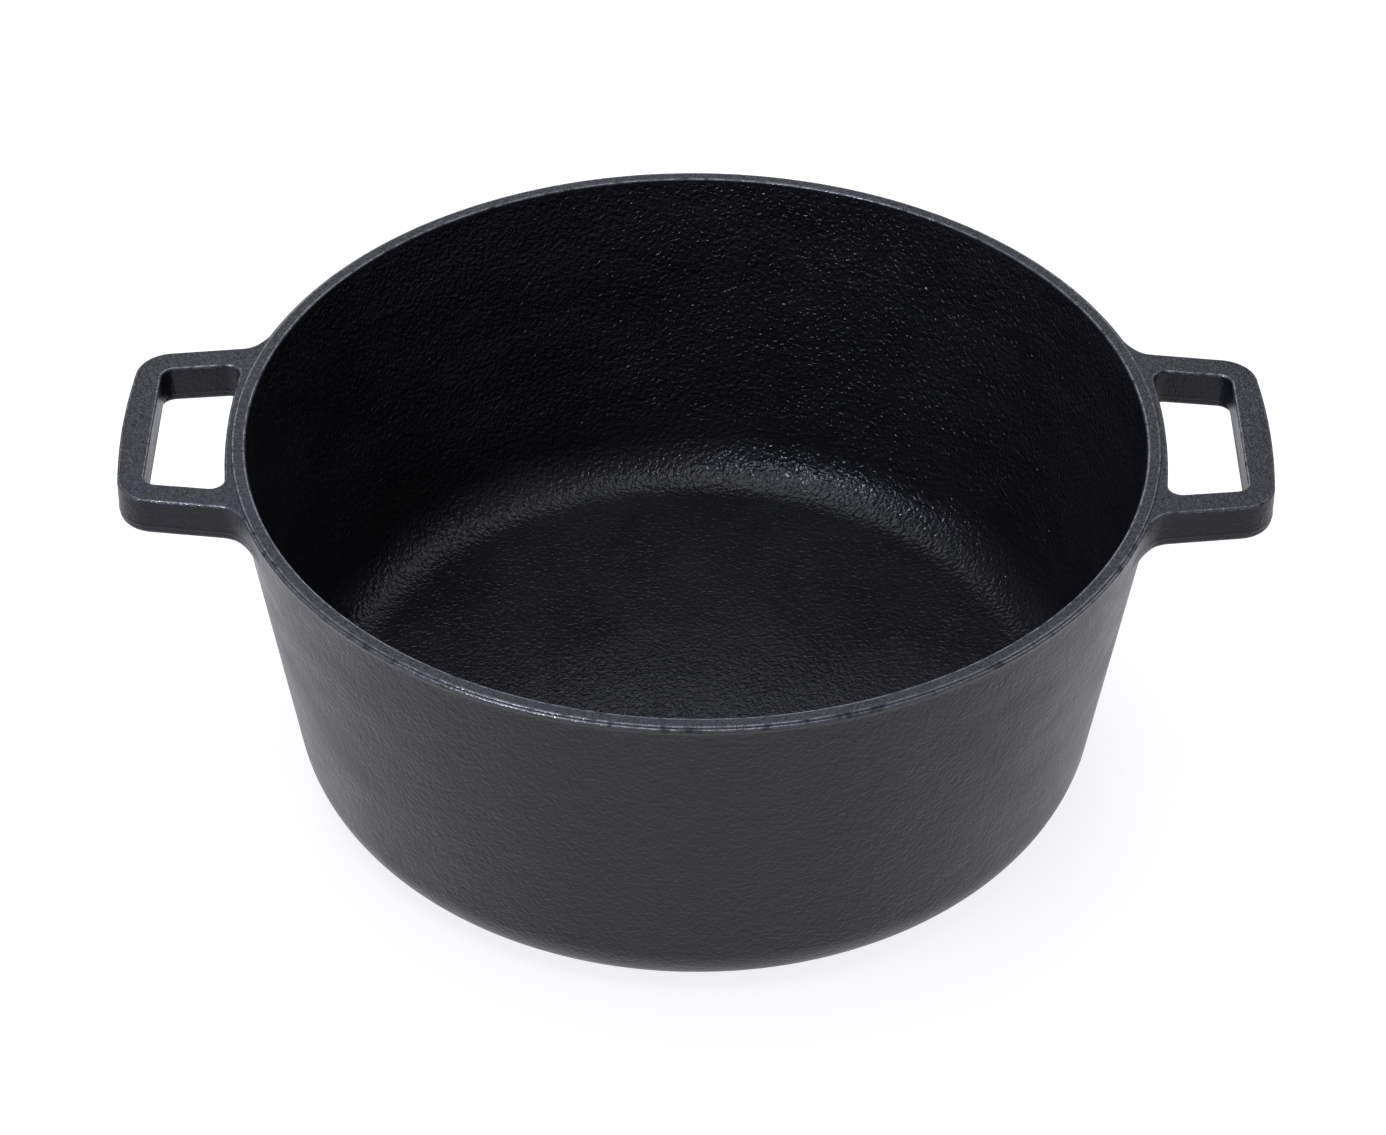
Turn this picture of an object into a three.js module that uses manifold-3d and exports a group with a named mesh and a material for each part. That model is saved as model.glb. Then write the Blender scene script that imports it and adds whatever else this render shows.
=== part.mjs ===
// Round cast iron Dutch oven, shown without its lid: a tapered pot with a flat cooking floor and two
// loop handles at the rim. Millimetres, +Z up. The origin is the middle of the foot ring's resting
// face, +X runs along the handles and the lid seat faces +Z.
// The real pot is one casting, so each mesh here is one named section of that casting. A hairline
// seam keeps neighbouring sections as separate solids.

import * as THREE from 'three';
import { mergeVertices } from 'three/addons/utils/BufferGeometryUtils.js';
import Module from 'manifold-3d';

// Driving dimensions
const HEIGHT = 112.5; // resting face to lid seat
const SEAT_RISE = 0.5; // lid seat above the outer shoulder
const SHOULDER_Z = HEIGHT - SEAT_RISE;
const TAPER = THREE.MathUtils.degToRad(8.86); // wall leans out by this much from upright
const SEAM = 0.3; // hairline between neighbouring sections

// Rim
const MOUTH_R = 130; // inside radius at the lid seat
const SEAT_R = 133.9; // outer radius of the raised lid seat
const RIM_R = 134.7; // outside radius of the shoulder
const WALL_R = 134.4; // outside of the wall, carried up to the shoulder
const LIP_DEPTH = 2.4; // the shoulder's lip runs down into the wall over this depth
const EDGE_R = 0.4; // softened edges of the seat and shoulder
const RIM_BAND_Z = 99.2; // underside of the band that carries the handles

// Bowl
const FLOOR_TOP = 10.5; // cooking floor above the resting face
const INNER_CORNER_R = 17; // round between the cooking floor and the wall
const OUTER_CORNER_R = 23.4; // round between the wall and the foot
const OUTER_CORNER_Z = 20.3; // height of that round's centre
const CORNER_TOP_Z = 25; // where the corner section gives way to the straight wall

// Foot
const RECESS = 4.5; // how far the underside is hollowed inside the foot ring
const FOOT_INNER_R = 92;
const FOOT_DRAFT = 1.5; // how far the recess wall leans in over its depth
const FOOT_EDGE_R = 1.2; // softened outer edge of the resting face

// Handles, given for the right one: X is the distance from the pot's axis, Y is half a width
const HANDLE_TOP = SHOULDER_Z; // flush with the shoulder
const HANDLE_DEPTH = 12.2; // top face to underside
const HANDLE_BEVEL = 0.8; // softened edges all round
const GRIP_OUTER = 166; // outer face of the grip bar at its middle
const GRIP_BOW = 1.1; // how far the bar's corner lines run past that face
const GRIP_BOW_R = 269;
const LOOP_CORNER = { x: 163.8, y: 34.9, r: 11 }; // outer corner of the loop
const ROOT_CORNER = { x: 128.4, y: 39.4, r: 12 }; // where the arm's outer edge meets the rim
const HOLE_POT_SIDE = 135.7; // pot side of the finger hole at its middle
const HOLE_BOW = 0.8;
const HOLE_BOW_R = 223;
const HOLE_POT_CORNER = { x: 133.7, y: 30.3, r: 4 };
const HOLE_GRIP_CORNER = { x: 157, y: 27.6, r: 4 };
const ARM_START = 140; // root gives way to the arms
const GRIP_START = 157; // arms give way to the grip bar

// Smoothness
const AROUND = 96; // facets around the pot
const ROUND_STEPS = 8; // facets along a corner round
const EDGE_STEPS = 2; // facets along a softened edge

const outerWall = (z) => WALL_R - (SHOULDER_Z - z) * Math.tan(TAPER);
const innerWall = (z) => MOUTH_R - (HEIGHT - z) * Math.tan(TAPER);
const outerCornerX = outerWall(OUTER_CORNER_Z) - OUTER_CORNER_R / Math.cos(TAPER);
const innerCornerZ = FLOOR_TOP + INNER_CORNER_R;
const innerCornerX = innerWall(innerCornerZ) - INNER_CORNER_R / Math.cos(TAPER);
const FLOOR_R = innerCornerX; // flat part of the cooking floor
const LIP_LOW = SHOULDER_Z - LIP_DEPTH;

// ---------- outlines ----------

const point = (x, y) => new THREE.Vector2(x, y);

// Points along a circular arc from one angle to another, both ends included.
function arc(cx, cy, r, from, to, steps) {
  const at = (i) => from + ((to - from) * i) / steps;
  return Array.from({ length: steps + 1 }, (_, i) => (
    point(cx + r * Math.cos(at(i)), cy + r * Math.sin(at(i)))
  ));
}

// Angle on the outer corner round at height z, negative below the round's centre.
const outerCornerAngle = (z) => -Math.asin((OUTER_CORNER_Z - z) / OUTER_CORNER_R);

// The outer corner round between two heights, ending no higher than where it meets the wall.
function outerCorner(lowZ, highZ, steps) {
  const low = outerCornerAngle(lowZ);
  const high = highZ === undefined ? -TAPER : outerCornerAngle(highZ);
  return arc(outerCornerX, OUTER_CORNER_Z, OUTER_CORNER_R, low, high, steps);
}

// A closed outline through corners {x, y, r}, each rounded to its radius.
function rounded(corners, steps) {
  const count = corners.length;
  const points = [];
  corners.forEach((corner, i) => {
    const before = corners[(i + count - 1) % count];
    const after = corners[(i + 1) % count];
    const here = point(corner.x, corner.y);
    const back = point(before.x, before.y).sub(here).normalize();
    const on = point(after.x, after.y).sub(here).normalize();
    if (!corner.r) {
      points.push(here);
      return;
    }
    const half = Math.acos(THREE.MathUtils.clamp(back.dot(on), -1, 1)) / 2;
    const centre = back.clone().add(on).normalize()
      .multiplyScalar(corner.r / Math.sin(half)).add(here);
    const reach = corner.r / Math.tan(half);
    const start = here.clone().addScaledVector(back, reach).sub(centre);
    const end = here.clone().addScaledVector(on, reach).sub(centre);
    let turn = end.angle() - start.angle();
    turn -= 2 * Math.PI * Math.round(turn / (2 * Math.PI));
    points.push(...arc(centre.x, centre.y, corner.r, start.angle(), start.angle() + turn, steps));
  });
  return points;
}

// ---------- solids ----------

// Turns a closed section outline, given as radius and height, about +Z.
function turned(outline) {
  const closed = outline[0].x === 0 ? outline : [...outline, outline[0].clone()];
  return new THREE.LatheGeometry(closed, AROUND).rotateX(Math.PI / 2);
}

const wasm = await Module();
wasm.setup();

// A closed geometry as a solid that can be joined and cut.
function solid(geometry) {
  const bare = geometry.clone();
  bare.deleteAttribute('normal');
  bare.deleteAttribute('uv');
  const merged = mergeVertices(bare);
  return new wasm.Manifold(new wasm.Mesh({
    numProp: 3,
    vertProperties: Float32Array.from(merged.attributes.position.array),
    triVerts: Uint32Array.from(merged.index.array),
  }));
}

function geometryOf(body) {
  const mesh = body.getMesh();
  const geometry = new THREE.BufferGeometry();
  geometry.setAttribute('position', new THREE.BufferAttribute(mesh.vertProperties, mesh.numProp));
  geometry.setIndex(new THREE.BufferAttribute(mesh.triVerts, 1));
  const flat = geometry.toNonIndexed();
  flat.computeVertexNormals();
  return flat;
}

// A box taller than the pot over a rectangle of X and Y, used to divide the handle into sections.
function block(x0, x1, y0, y1) {
  const box = new THREE.BoxGeometry(x1 - x0, y1 - y0, 2 * HEIGHT);
  return solid(box.translate((x0 + x1) / 2, (y0 + y1) / 2, HEIGHT));
}

// ---------- sections of the pot ----------

// Disc under the food, hollowed below inside the foot ring.
function floorPlate() {
  return turned([
    point(0, RECESS),
    point(FLOOR_R - SEAM, RECESS),
    point(FLOOR_R - SEAM, FLOOR_TOP),
    point(0, FLOOR_TOP),
  ]);
}

// Raised ring that the pot stands on. Its outer face carries on the corner round.
function footRing() {
  const top = RECESS - SEAM;
  const edge = outerCorner(FOOT_EDGE_R, top, EDGE_STEPS);
  const restingR = edge[0].x - 2 * FOOT_EDGE_R;
  return turned([
    point(FOOT_INNER_R, 0),
    point(restingR, 0),
    ...edge,
    point(FOOT_INNER_R - FOOT_DRAFT, top),
  ]);
}

// Round corner between the floor and the wall.
function cornerCurve() {
  const inner = arc(innerCornerX, innerCornerZ, INNER_CORNER_R, -TAPER, -Math.PI / 2, ROUND_STEPS);
  return turned([
    point(FLOOR_R, RECESS),
    ...outerCorner(RECESS, undefined, ROUND_STEPS),
    point(outerWall(CORNER_TOP_Z), CORNER_TOP_Z),
    point(innerWall(CORNER_TOP_Z), CORNER_TOP_Z),
    ...inner,
  ]);
}

// Straight tapered wall up to the rim band.
function sideWall() {
  const low = CORNER_TOP_Z + SEAM;
  const high = RIM_BAND_Z - SEAM;
  return turned([
    point(outerWall(low), low),
    point(outerWall(high), high),
    point(innerWall(high), high),
    point(innerWall(low), low),
  ]);
}

// Top band of the wall, with the lipped outer shoulder and the raised lid seat.
function rimBand() {
  const quarter = Math.PI / 2;
  return turned([
    point(outerWall(RIM_BAND_Z), RIM_BAND_Z),
    point(outerWall(LIP_LOW), LIP_LOW),
    ...arc(RIM_R - EDGE_R, SHOULDER_Z - EDGE_R, EDGE_R, 0, quarter, EDGE_STEPS),
    point(SEAT_R, SHOULDER_Z),
    ...arc(SEAT_R - EDGE_R, HEIGHT - EDGE_R, EDGE_R, 0, quarter, EDGE_STEPS),
    ...arc(MOUTH_R + EDGE_R, HEIGHT - EDGE_R, EDGE_R, quarter, 2 * quarter, EDGE_STEPS),
    point(innerWall(RIM_BAND_Z), RIM_BAND_Z),
  ]);
}

// ---------- sections of a handle ----------

const mirrored = ({ x, y, r }) => ({ x, y: -y, r });

// The whole right handle as one plate, running into the pot wall.
function handlePlate() {
  const flareEnd = alongRim(ROOT_CORNER, 2 * ROOT_CORNER.r);
  const buried = { x: flareEnd.x - ROOT_CORNER.r, y: flareEnd.y, r: 0 };
  const loop = new THREE.Shape(rounded([
    mirrored(buried), mirrored(flareEnd), mirrored(ROOT_CORNER), mirrored(LOOP_CORNER),
    { x: GRIP_OUTER + GRIP_BOW, y: 0, r: GRIP_BOW_R },
    LOOP_CORNER, ROOT_CORNER, flareEnd, buried,
  ], ROUND_STEPS));
  loop.holes.push(new THREE.Path(rounded([
    { x: HOLE_POT_SIDE + HOLE_BOW, y: 0, r: HOLE_BOW_R },
    mirrored(HOLE_POT_CORNER), mirrored(HOLE_GRIP_CORNER), HOLE_GRIP_CORNER, HOLE_POT_CORNER,
  ], ROUND_STEPS)));
  const plate = new THREE.ExtrudeGeometry(loop, {
    depth: HANDLE_DEPTH - 2 * HANDLE_BEVEL,
    bevelEnabled: true,
    bevelThickness: HANDLE_BEVEL,
    bevelSize: HANDLE_BEVEL,
    bevelOffset: -HANDLE_BEVEL,
    bevelSegments: EDGE_STEPS,
  });
  return plate.translate(0, 0, HANDLE_TOP - HANDLE_DEPTH + HANDLE_BEVEL);
}

// The point on the rim a given length further round from a place on it, so that the root flares
// into the rim.
function alongRim({ x, y }, length) {
  const angle = Math.atan2(y, x) + length / RIM_R;
  return { x: RIM_R * Math.cos(angle), y: RIM_R * Math.sin(angle), r: 0 };
}

// The right handle's sections: a root that hugs the rim band, two arms and the grip bar.
function handleSections() {
  const [inside, outside, wide] = [0, 2 * GRIP_OUTER, GRIP_OUTER];
  const half = SEAM / 2;
  const plate = solid(handlePlate());
  const arms = plate.intersect(block(ARM_START + half, GRIP_START - half, -wide, wide));
  return {
    root: plate.intersect(block(inside, ARM_START - half, -wide, wide)).subtract(potFilled()),
    front_arm: arms.intersect(block(inside, outside, -wide, 0)),
    rear_arm: arms.intersect(block(inside, outside, 0, wide)),
    grip: plate.intersect(block(GRIP_START + half, outside, -wide, wide)),
  };
}

// The pot's outside at the rim band, filled in and a seam larger, which the roots are cut back to.
function potFilled() {
  return solid(turned([
    point(0, RIM_BAND_Z),
    point(outerWall(RIM_BAND_Z) + SEAM, RIM_BAND_Z),
    point(outerWall(LIP_LOW) + SEAM, LIP_LOW),
    point(RIM_R + SEAM, SHOULDER_Z - EDGE_R),
    point(RIM_R + SEAM, HEIGHT),
    point(0, HEIGHT),
  ]));
}

// ---------- assembly ----------

const seasoned = { color: '#3b3c40', roughness: 0.5, metalness: 0.6 };
const cooking = { color: '#1d1d1f', roughness: 0.4, metalness: 0.6 };

function named(name, geometry, finish) {
  const mesh = new THREE.Mesh(geometry, new THREE.MeshStandardMaterial(finish));
  mesh.name = name;
  return mesh;
}

const dutchOven = new THREE.Group();
dutchOven.add(
  named('floor_plate', floorPlate(), cooking),
  named('foot_ring', footRing(), seasoned),
  named('corner_curve', cornerCurve(), seasoned),
  named('side_wall', sideWall(), seasoned),
  named('rim_band', rimBand(), seasoned),
);

// The left handle is the right one turned half way round, which brings its rear arm to the front.
const sections = handleSections();
const turnedNames = { front_arm: 'rear_arm', rear_arm: 'front_arm' };
const leftHandle = new THREE.Group();
leftHandle.rotation.z = Math.PI;
for (const [section, body] of Object.entries(sections)) {
  dutchOven.add(named(`right_handle_${section}`, geometryOf(body), seasoned));
  const place = turnedNames[section] ?? section;
  leftHandle.add(named(`left_handle_${place}`, geometryOf(body), seasoned));
}
dutchOven.add(leftHandle);

export default dutchOven;
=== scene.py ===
"""Looks of a seasoned cast iron Dutch oven pot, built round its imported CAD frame."""

import math

import bmesh
import bpy
import numpy as np
from bpy.props import FloatProperty, FloatVectorProperty, IntProperty, PointerProperty
from mathutils import Matrix, Vector


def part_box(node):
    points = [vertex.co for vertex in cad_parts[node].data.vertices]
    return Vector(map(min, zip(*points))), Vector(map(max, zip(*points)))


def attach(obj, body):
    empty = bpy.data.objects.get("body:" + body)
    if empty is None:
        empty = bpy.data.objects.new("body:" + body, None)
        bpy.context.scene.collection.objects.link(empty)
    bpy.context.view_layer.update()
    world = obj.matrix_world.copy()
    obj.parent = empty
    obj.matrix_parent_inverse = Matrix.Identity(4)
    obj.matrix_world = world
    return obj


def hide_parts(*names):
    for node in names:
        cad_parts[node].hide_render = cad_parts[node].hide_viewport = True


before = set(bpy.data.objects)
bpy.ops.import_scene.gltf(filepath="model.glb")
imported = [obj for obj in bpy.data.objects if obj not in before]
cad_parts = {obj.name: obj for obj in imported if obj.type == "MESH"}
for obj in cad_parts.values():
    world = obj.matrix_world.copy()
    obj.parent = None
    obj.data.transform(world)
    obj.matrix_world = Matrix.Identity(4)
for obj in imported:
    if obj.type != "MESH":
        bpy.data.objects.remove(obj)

bl_info = {
    "name": "Cast Iron Dutch Oven",
    "version": (1, 0, 0),
    "blender": (4, 5, 0),
    "location": "3D View > Sidebar > Dutch Oven",
    "description": "Builds a seasoned cast iron pot, its finishes and a plain studio",
    "category": "Add Mesh",
}

MM = 0.001
QUARTER = math.pi / 2
MERGE_GAP = 0.001 * MM
SHARP_ANGLE = math.radians(50)

# ---------- what the frame gives ----------

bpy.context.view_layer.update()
RIM_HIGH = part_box("rim_band")[1]
WALL_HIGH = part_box("side_wall")[1]
CORNER_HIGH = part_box("corner_curve")[1]
FLOOR_LOW, FLOOR_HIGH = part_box("floor_plate")
GRIP_LOW, GRIP_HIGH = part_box("right_handle_grip")
HEIGHT = RIM_HIGH[2]
RIM_R = RIM_HIGH[0]
SHOULDER_Z = GRIP_HIGH[2]
WALL_SLOPE = (WALL_HIGH[0] - CORNER_HIGH[0]) / (WALL_HIGH[2] - CORNER_HIGH[2])
WALL_LEAN = math.atan(WALL_SLOPE)
POT_NODES = ("floor_plate", "foot_ring", "corner_curve", "side_wall", "rim_band")
HANDLE_SECTIONS = ("root", "front_arm", "rear_arm", "grip")


def linear(hex_colour):
    """A hex sRGB colour as linear red, green, blue and a full alpha."""
    shares = [int(hex_colour[i : i + 2], 16) / 255 for i in (1, 3, 5)]
    return (*(s / 12.92 if s <= 0.04045 else ((s + 0.055) / 1.055) ** 2.4 for s in shares), 1.0)


def length(name, default, description):
    """A property for a size in metres."""
    return FloatProperty(
        name=name, description=description, default=default, min=0, precision=5, unit="LENGTH"
    )


def colour(name, default, description):
    """A property for a colour given in hex sRGB."""
    return FloatVectorProperty(
        name=name, description=description, default=linear(default), size=4,
        min=0, max=1, subtype="COLOR",
    )


# ---------- what a user would change ----------


class PotSizes(bpy.types.PropertyGroup):
    """Sizes of the pot that the frame leaves to the finish."""

    mouth_radius: length("Mouth radius", 130 * MM, "Inside radius at the lid seat")
    seat_radius: length("Seat radius", 133.9 * MM, "Outer radius of the raised lid seat")
    seat_edge: length("Seat edge", 0.4 * MM, "Round on the lid seat's edges")
    seat_foot: length("Seat foot", 0.1 * MM, "Fillet between the lid seat and the shoulder")
    wall_radius: length("Wall radius", 134.4 * MM, "Wall's outside, carried up to the shoulder")
    shoulder_edge: length("Shoulder edge", 0.6 * MM, "Round on the shoulder's outer edge")
    lip_depth: length("Lip depth", 2.4 * MM, "Depth in which the lip runs into the wall")
    inner_corner: length("Inner corner", 17 * MM, "Round between cooking floor and wall")
    outer_corner: length("Outer corner", 23.4 * MM, "Round between wall and foot")
    outer_corner_z: length("Outer corner height", 20.3 * MM, "Height of that round's centre")
    foot_inner: length("Foot inner radius", 92 * MM, "Inside radius of the resting face")
    foot_edge: length("Foot edge", 1.4 * MM, "Round on the resting face's edges")
    recess_corner: length("Recess corner", 2.5 * MM, "Round at the top of the recess wall")
    facets: IntProperty(name="Facets", description="Facets round the pot", default=420, min=24)


class HandleSizes(bpy.types.PropertyGroup):
    """Sizes of a loop handle, given for the right one."""

    root_x: length("Root X", 128.4 * MM, "Where the arm's outer edge meets the rim, along X")
    root_y: length("Root Y", 39.4 * MM, "Where the arm's outer edge meets the rim, along Y")
    root_round: length("Root round", 12 * MM, "Flare of the arm into the rim, from above")
    flare_dive: length("Flare dive", 2.4 * MM, "Depth in the wall at which the flare ends")
    corner_x: length("Corner X", 163.8 * MM, "Outer corner of the loop along X")
    corner_y: length("Corner Y", 34.9 * MM, "Outer corner of the loop along Y")
    corner_round: length("Corner round", 11 * MM, "Round of the loop's outer corner")
    grip_bow: length("Grip bow", 1.1 * MM, "How far the grip's edge lines run past its middle")
    grip_bow_round: length("Grip bow round", 269 * MM, "Round of the grip's outer face")
    hole_x: length("Hole X", 135.7 * MM, "Pot side of the finger hole at its middle")
    hole_bow: length("Hole bow", 0.8 * MM, "How far that side's lines run past its middle")
    hole_bow_round: length("Hole bow round", 223 * MM, "Round of that side")
    hole_inner_x: length("Hole inner X", 133.7 * MM, "Pot side corner of the hole along X")
    hole_inner_y: length("Hole inner Y", 30.3 * MM, "Pot side corner of the hole along Y")
    hole_outer_x: length("Hole outer X", 157 * MM, "Grip side corner of the hole along X")
    hole_outer_y: length("Hole outer Y", 27.6 * MM, "Grip side corner of the hole along Y")
    hole_round: length("Hole round", 4 * MM, "Round of the hole's corners")
    top_edge: length("Top edge", 0.65 * MM, "Round on the top edges")
    low_edge: length("Low edge", 1.8 * MM, "Round on the bottom edges")
    fillet: length("Fillet", 4 * MM, "Fillet between the handle and the wall")
    parting: length("Parting line", 9 * MM, "Depth of the mould parting line below the top")
    cell: length("Cell", 0.4 * MM, "Size of the mesh cells")


class IronFinish(bpy.types.PropertyGroup):
    """Colours and grain of the seasoned iron."""

    skin: colour("Skin", "#0D0E13", "Oil seasoned skin outside")
    skin_smear: colour("Smear", "#14151B", "Wiped and hazed patches of the skin")
    skin_worn: colour("Worn edge", "#545457", "Edges where the seasoning has rubbed thin")
    cooking: colour("Cooking surface", "#0F0F11", "Oil seasoned surface inside")
    cooking_smear: colour("Cooking haze", "#161618", "Hazed patches inside")
    # The sand's real grain, about 0.5 mm, is too fine to show, so these three are coarser.
    grain: length("Sand grain", 1.3 * MM, "Grain that the moulding sand leaves")
    ripple: length("Ripple", 1.5 * MM, "Fine ripple of the level faces at the rim")
    pebble: length("Pebble", 1.35 * MM, "Pebbling of the inside")
    relief: length("Relief", 0.05 * MM, "Height of the waviness of the cast skin")
    wave: length("Wave", 7 * MM, "Size of the waviness of the cast skin")


class StudioSettings(bpy.types.PropertyGroup):
    """Table, lights and camera."""

    floor: colour("Table", "#9A9A9A", "White acrylic of the table, before its own light")
    floor_glow: FloatProperty(
        name="Table glow", description="Light that the table gives off by itself", default=0.86
    )
    room: FloatProperty(name="Room", description="Brightness of the white room", default=0.4)
    key_power: FloatProperty(
        name="Front softbox", description="Small softbox above the front left", default=21,
        unit="POWER",
    )
    overhead_power: FloatProperty(
        name="Overhead softbox", description="Wide softbox over the pot", default=19,
        unit="POWER",
    )
    back_power: FloatProperty(
        name="Back softbox", description="Wide softbox behind and above", default=11,
        unit="POWER",
    )
    right_power: FloatProperty(
        name="Right softbox", description="Softbox above the back right", default=5,
        unit="POWER",
    )
    camera_distance: length("Camera distance", 1.26697, "Along the line of sight to the rim")
    camera_elevation: FloatProperty(
        name="Elevation", description="Camera's angle above the horizon",
        default=math.radians(38.283), subtype="ANGLE",
    )
    camera_roll: FloatProperty(
        name="Roll", description="Camera's turn about its own line of sight",
        default=math.radians(0.365), subtype="ANGLE",
    )
    camera_lens: FloatProperty(
        name="Lens", description="Focal length on a 36 mm wide sensor", default=113.98,
        unit="CAMERA",
    )


# ---------- node trees ----------


def add(tree, kind, inputs=None, **settings):
    """Adds a node with these settings. Each input takes a value, or a socket to link from."""
    node = tree.nodes.new(kind)
    for name, value in settings.items():
        setattr(node, name, value)
    for key, value in (inputs or {}).items():
        if isinstance(value, bpy.types.NodeSocket):
            tree.links.new(value, node.inputs[key])
        else:
            node.inputs[key].default_value = value
    return node


def new_tree(name, inputs):
    """A geometry node tree with a geometry in and out and the named inputs given."""
    tree = bpy.data.node_groups.new(name, "GeometryNodeTree")
    tree.interface.new_socket("Geometry", in_out="OUTPUT", socket_type="NodeSocketGeometry")
    tree.interface.new_socket("Geometry", in_out="INPUT", socket_type="NodeSocketGeometry")
    for label, kind in inputs.items():
        tree.interface.new_socket(label, in_out="INPUT", socket_type=f"NodeSocket{kind}")
    return tree, tree.nodes.new("NodeGroupInput").outputs


def skin_relief(tree, geometry, relief, wave, seed):
    """Gives a geometry the slow waviness of a sand casting, along its own normals.

    The waviness dies out towards the resting face, which is ground flat."""
    flat_z, waved_z = 0.1 * MM, 2 * MM
    place = add(tree, "GeometryNodeInputPosition").outputs[0]
    per_metre = add(tree, "ShaderNodeMath", {0: 1.0, 1: wave}, operation="DIVIDE").outputs[0]
    noise = add(
        tree, "ShaderNodeTexNoise",
        {"Vector": place, "W": seed, "Scale": per_metre, "Detail": 1.5, "Roughness": 0.5},
        noise_dimensions="4D",
    )
    centred = add(tree, "ShaderNodeMath", {0: noise.outputs[0], 1: 0.5}, operation="SUBTRACT")
    height = add(tree, "ShaderNodeMath", {0: centred.outputs[0], 1: relief}, operation="MULTIPLY")
    z = add(tree, "ShaderNodeSeparateXYZ", {0: place}).outputs["Z"]
    above_face = add(
        tree, "ShaderNodeMapRange", {"Value": z, "From Min": flat_z, "From Max": waved_z}
    )
    height = add(
        tree, "ShaderNodeMath", {0: height.outputs[0], 1: above_face.outputs[0]},
        operation="MULTIPLY",
    )
    normal = add(tree, "GeometryNodeInputNormal").outputs[0]
    push = add(
        tree, "ShaderNodeVectorMath", {0: normal, "Scale": height.outputs[0]}, operation="SCALE"
    )
    moved = add(tree, "GeometryNodeSetPosition", {"Geometry": geometry, "Offset": push.outputs[0]})
    return moved.outputs[0]


def finished(tree, geometry, outside, inside=None):
    """Ends a tree: real geometry, with the outside finish, and the inside one where marked."""
    real = add(tree, "GeometryNodeRealizeInstances", {"Geometry": geometry}).outputs[0]
    result = add(
        tree, "GeometryNodeSetMaterial", {"Geometry": real, "Material": outside}
    ).outputs[0]
    if inside:
        mark = add(tree, "GeometryNodeInputNamedAttribute", {"Name": "inside"}, data_type="FLOAT")
        above = add(tree, "ShaderNodeMath", {0: mark.outputs[0], 1: 0.5}, operation="GREATER_THAN")
        result = add(
            tree, "GeometryNodeSetMaterial",
            {"Geometry": result, "Selection": above.outputs[0], "Material": inside},
        ).outputs[0]
    smooth = add(tree, "GeometryNodeSetShadeSmooth", {"Geometry": result}).outputs[0]
    add(tree, "NodeGroupOutput", {0: smooth})


def turning_tree():
    """Turns an outline, drawn in X and Z as a chain of points, about Z into a closed body."""
    tree, given = new_tree(
        "Turned casting",
        {
            "Points": "Int", "Facets": "Int", "Relief": "Float", "Wave": "Float", "Seed": "Float",
            "Outside": "Material", "Inside": "Material",
        },
    )
    columns = add(tree, "ShaderNodeMath", {0: given["Facets"], 1: 1}, operation="ADD").outputs[0]
    grid = add(
        tree, "GeometryNodeMeshGrid", {"Vertices X": columns, "Vertices Y": given["Points"]}
    ).outputs[0]
    index = add(tree, "GeometryNodeInputIndex").outputs[0]
    rows = given["Points"]
    share = add(tree, "ShaderNodeMath", {0: index, 1: rows}, operation="DIVIDE").outputs[0]
    column = add(tree, "ShaderNodeMath", {0: share}, operation="FLOOR").outputs[0]
    row = add(tree, "ShaderNodeMath", {0: index, 1: rows}, operation="MODULO").outputs[0]
    position = add(tree, "GeometryNodeInputPosition").outputs[0]
    outline = add(
        tree, "GeometryNodeSampleIndex",
        {"Geometry": given["Geometry"], "Value": position, "Index": row},
        data_type="FLOAT_VECTOR",
    ).outputs[0]
    mark = add(tree, "GeometryNodeInputNamedAttribute", {"Name": "inside"}, data_type="FLOAT")
    inside = add(
        tree, "GeometryNodeSampleIndex",
        {"Geometry": given["Geometry"], "Value": mark.outputs[0], "Index": row},
        data_type="FLOAT",
    ).outputs[0]
    turns = add(tree, "ShaderNodeMath", {0: column, 1: given["Facets"]}, operation="DIVIDE")
    angle = add(tree, "ShaderNodeMath", {0: turns.outputs[0], 1: math.tau}, operation="MULTIPLY")
    around = add(
        tree, "ShaderNodeVectorRotate",
        {"Vector": outline, "Axis": (0, 0, 1), "Angle": angle.outputs[0]},
        rotation_type="AXIS_ANGLE",
    ).outputs[0]
    turned = add(tree, "GeometryNodeSetPosition", {"Geometry": grid, "Position": around})
    marked = add(
        tree, "GeometryNodeStoreNamedAttribute",
        {"Geometry": turned.outputs[0], "Name": "inside", "Value": inside},
        data_type="FLOAT", domain="POINT",
    ).outputs[0]
    closed = add(
        tree, "GeometryNodeMergeByDistance", {"Geometry": marked, "Distance": 2 * MERGE_GAP}
    ).outputs[0]
    waved = skin_relief(tree, closed, given["Relief"], given["Wave"], given["Seed"])
    finished(tree, waved, given["Outside"], given["Inside"])
    return tree


def skin_tree():
    """Gives a ready mesh the skin of a sand casting and its finish."""
    tree, given = new_tree(
        "Cast skin", {"Relief": "Float", "Wave": "Float", "Seed": "Float", "Outside": "Material"}
    )
    waved = skin_relief(tree, given["Geometry"], given["Relief"], given["Wave"], given["Seed"])
    finished(tree, waved, given["Outside"])
    return tree


def pot_pieces():
    """The collection of the pot's pieces, which some of the lights are kept to."""
    name = "pot_pieces"
    return bpy.data.collections.get(name) or bpy.data.collections.new(name)


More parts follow.
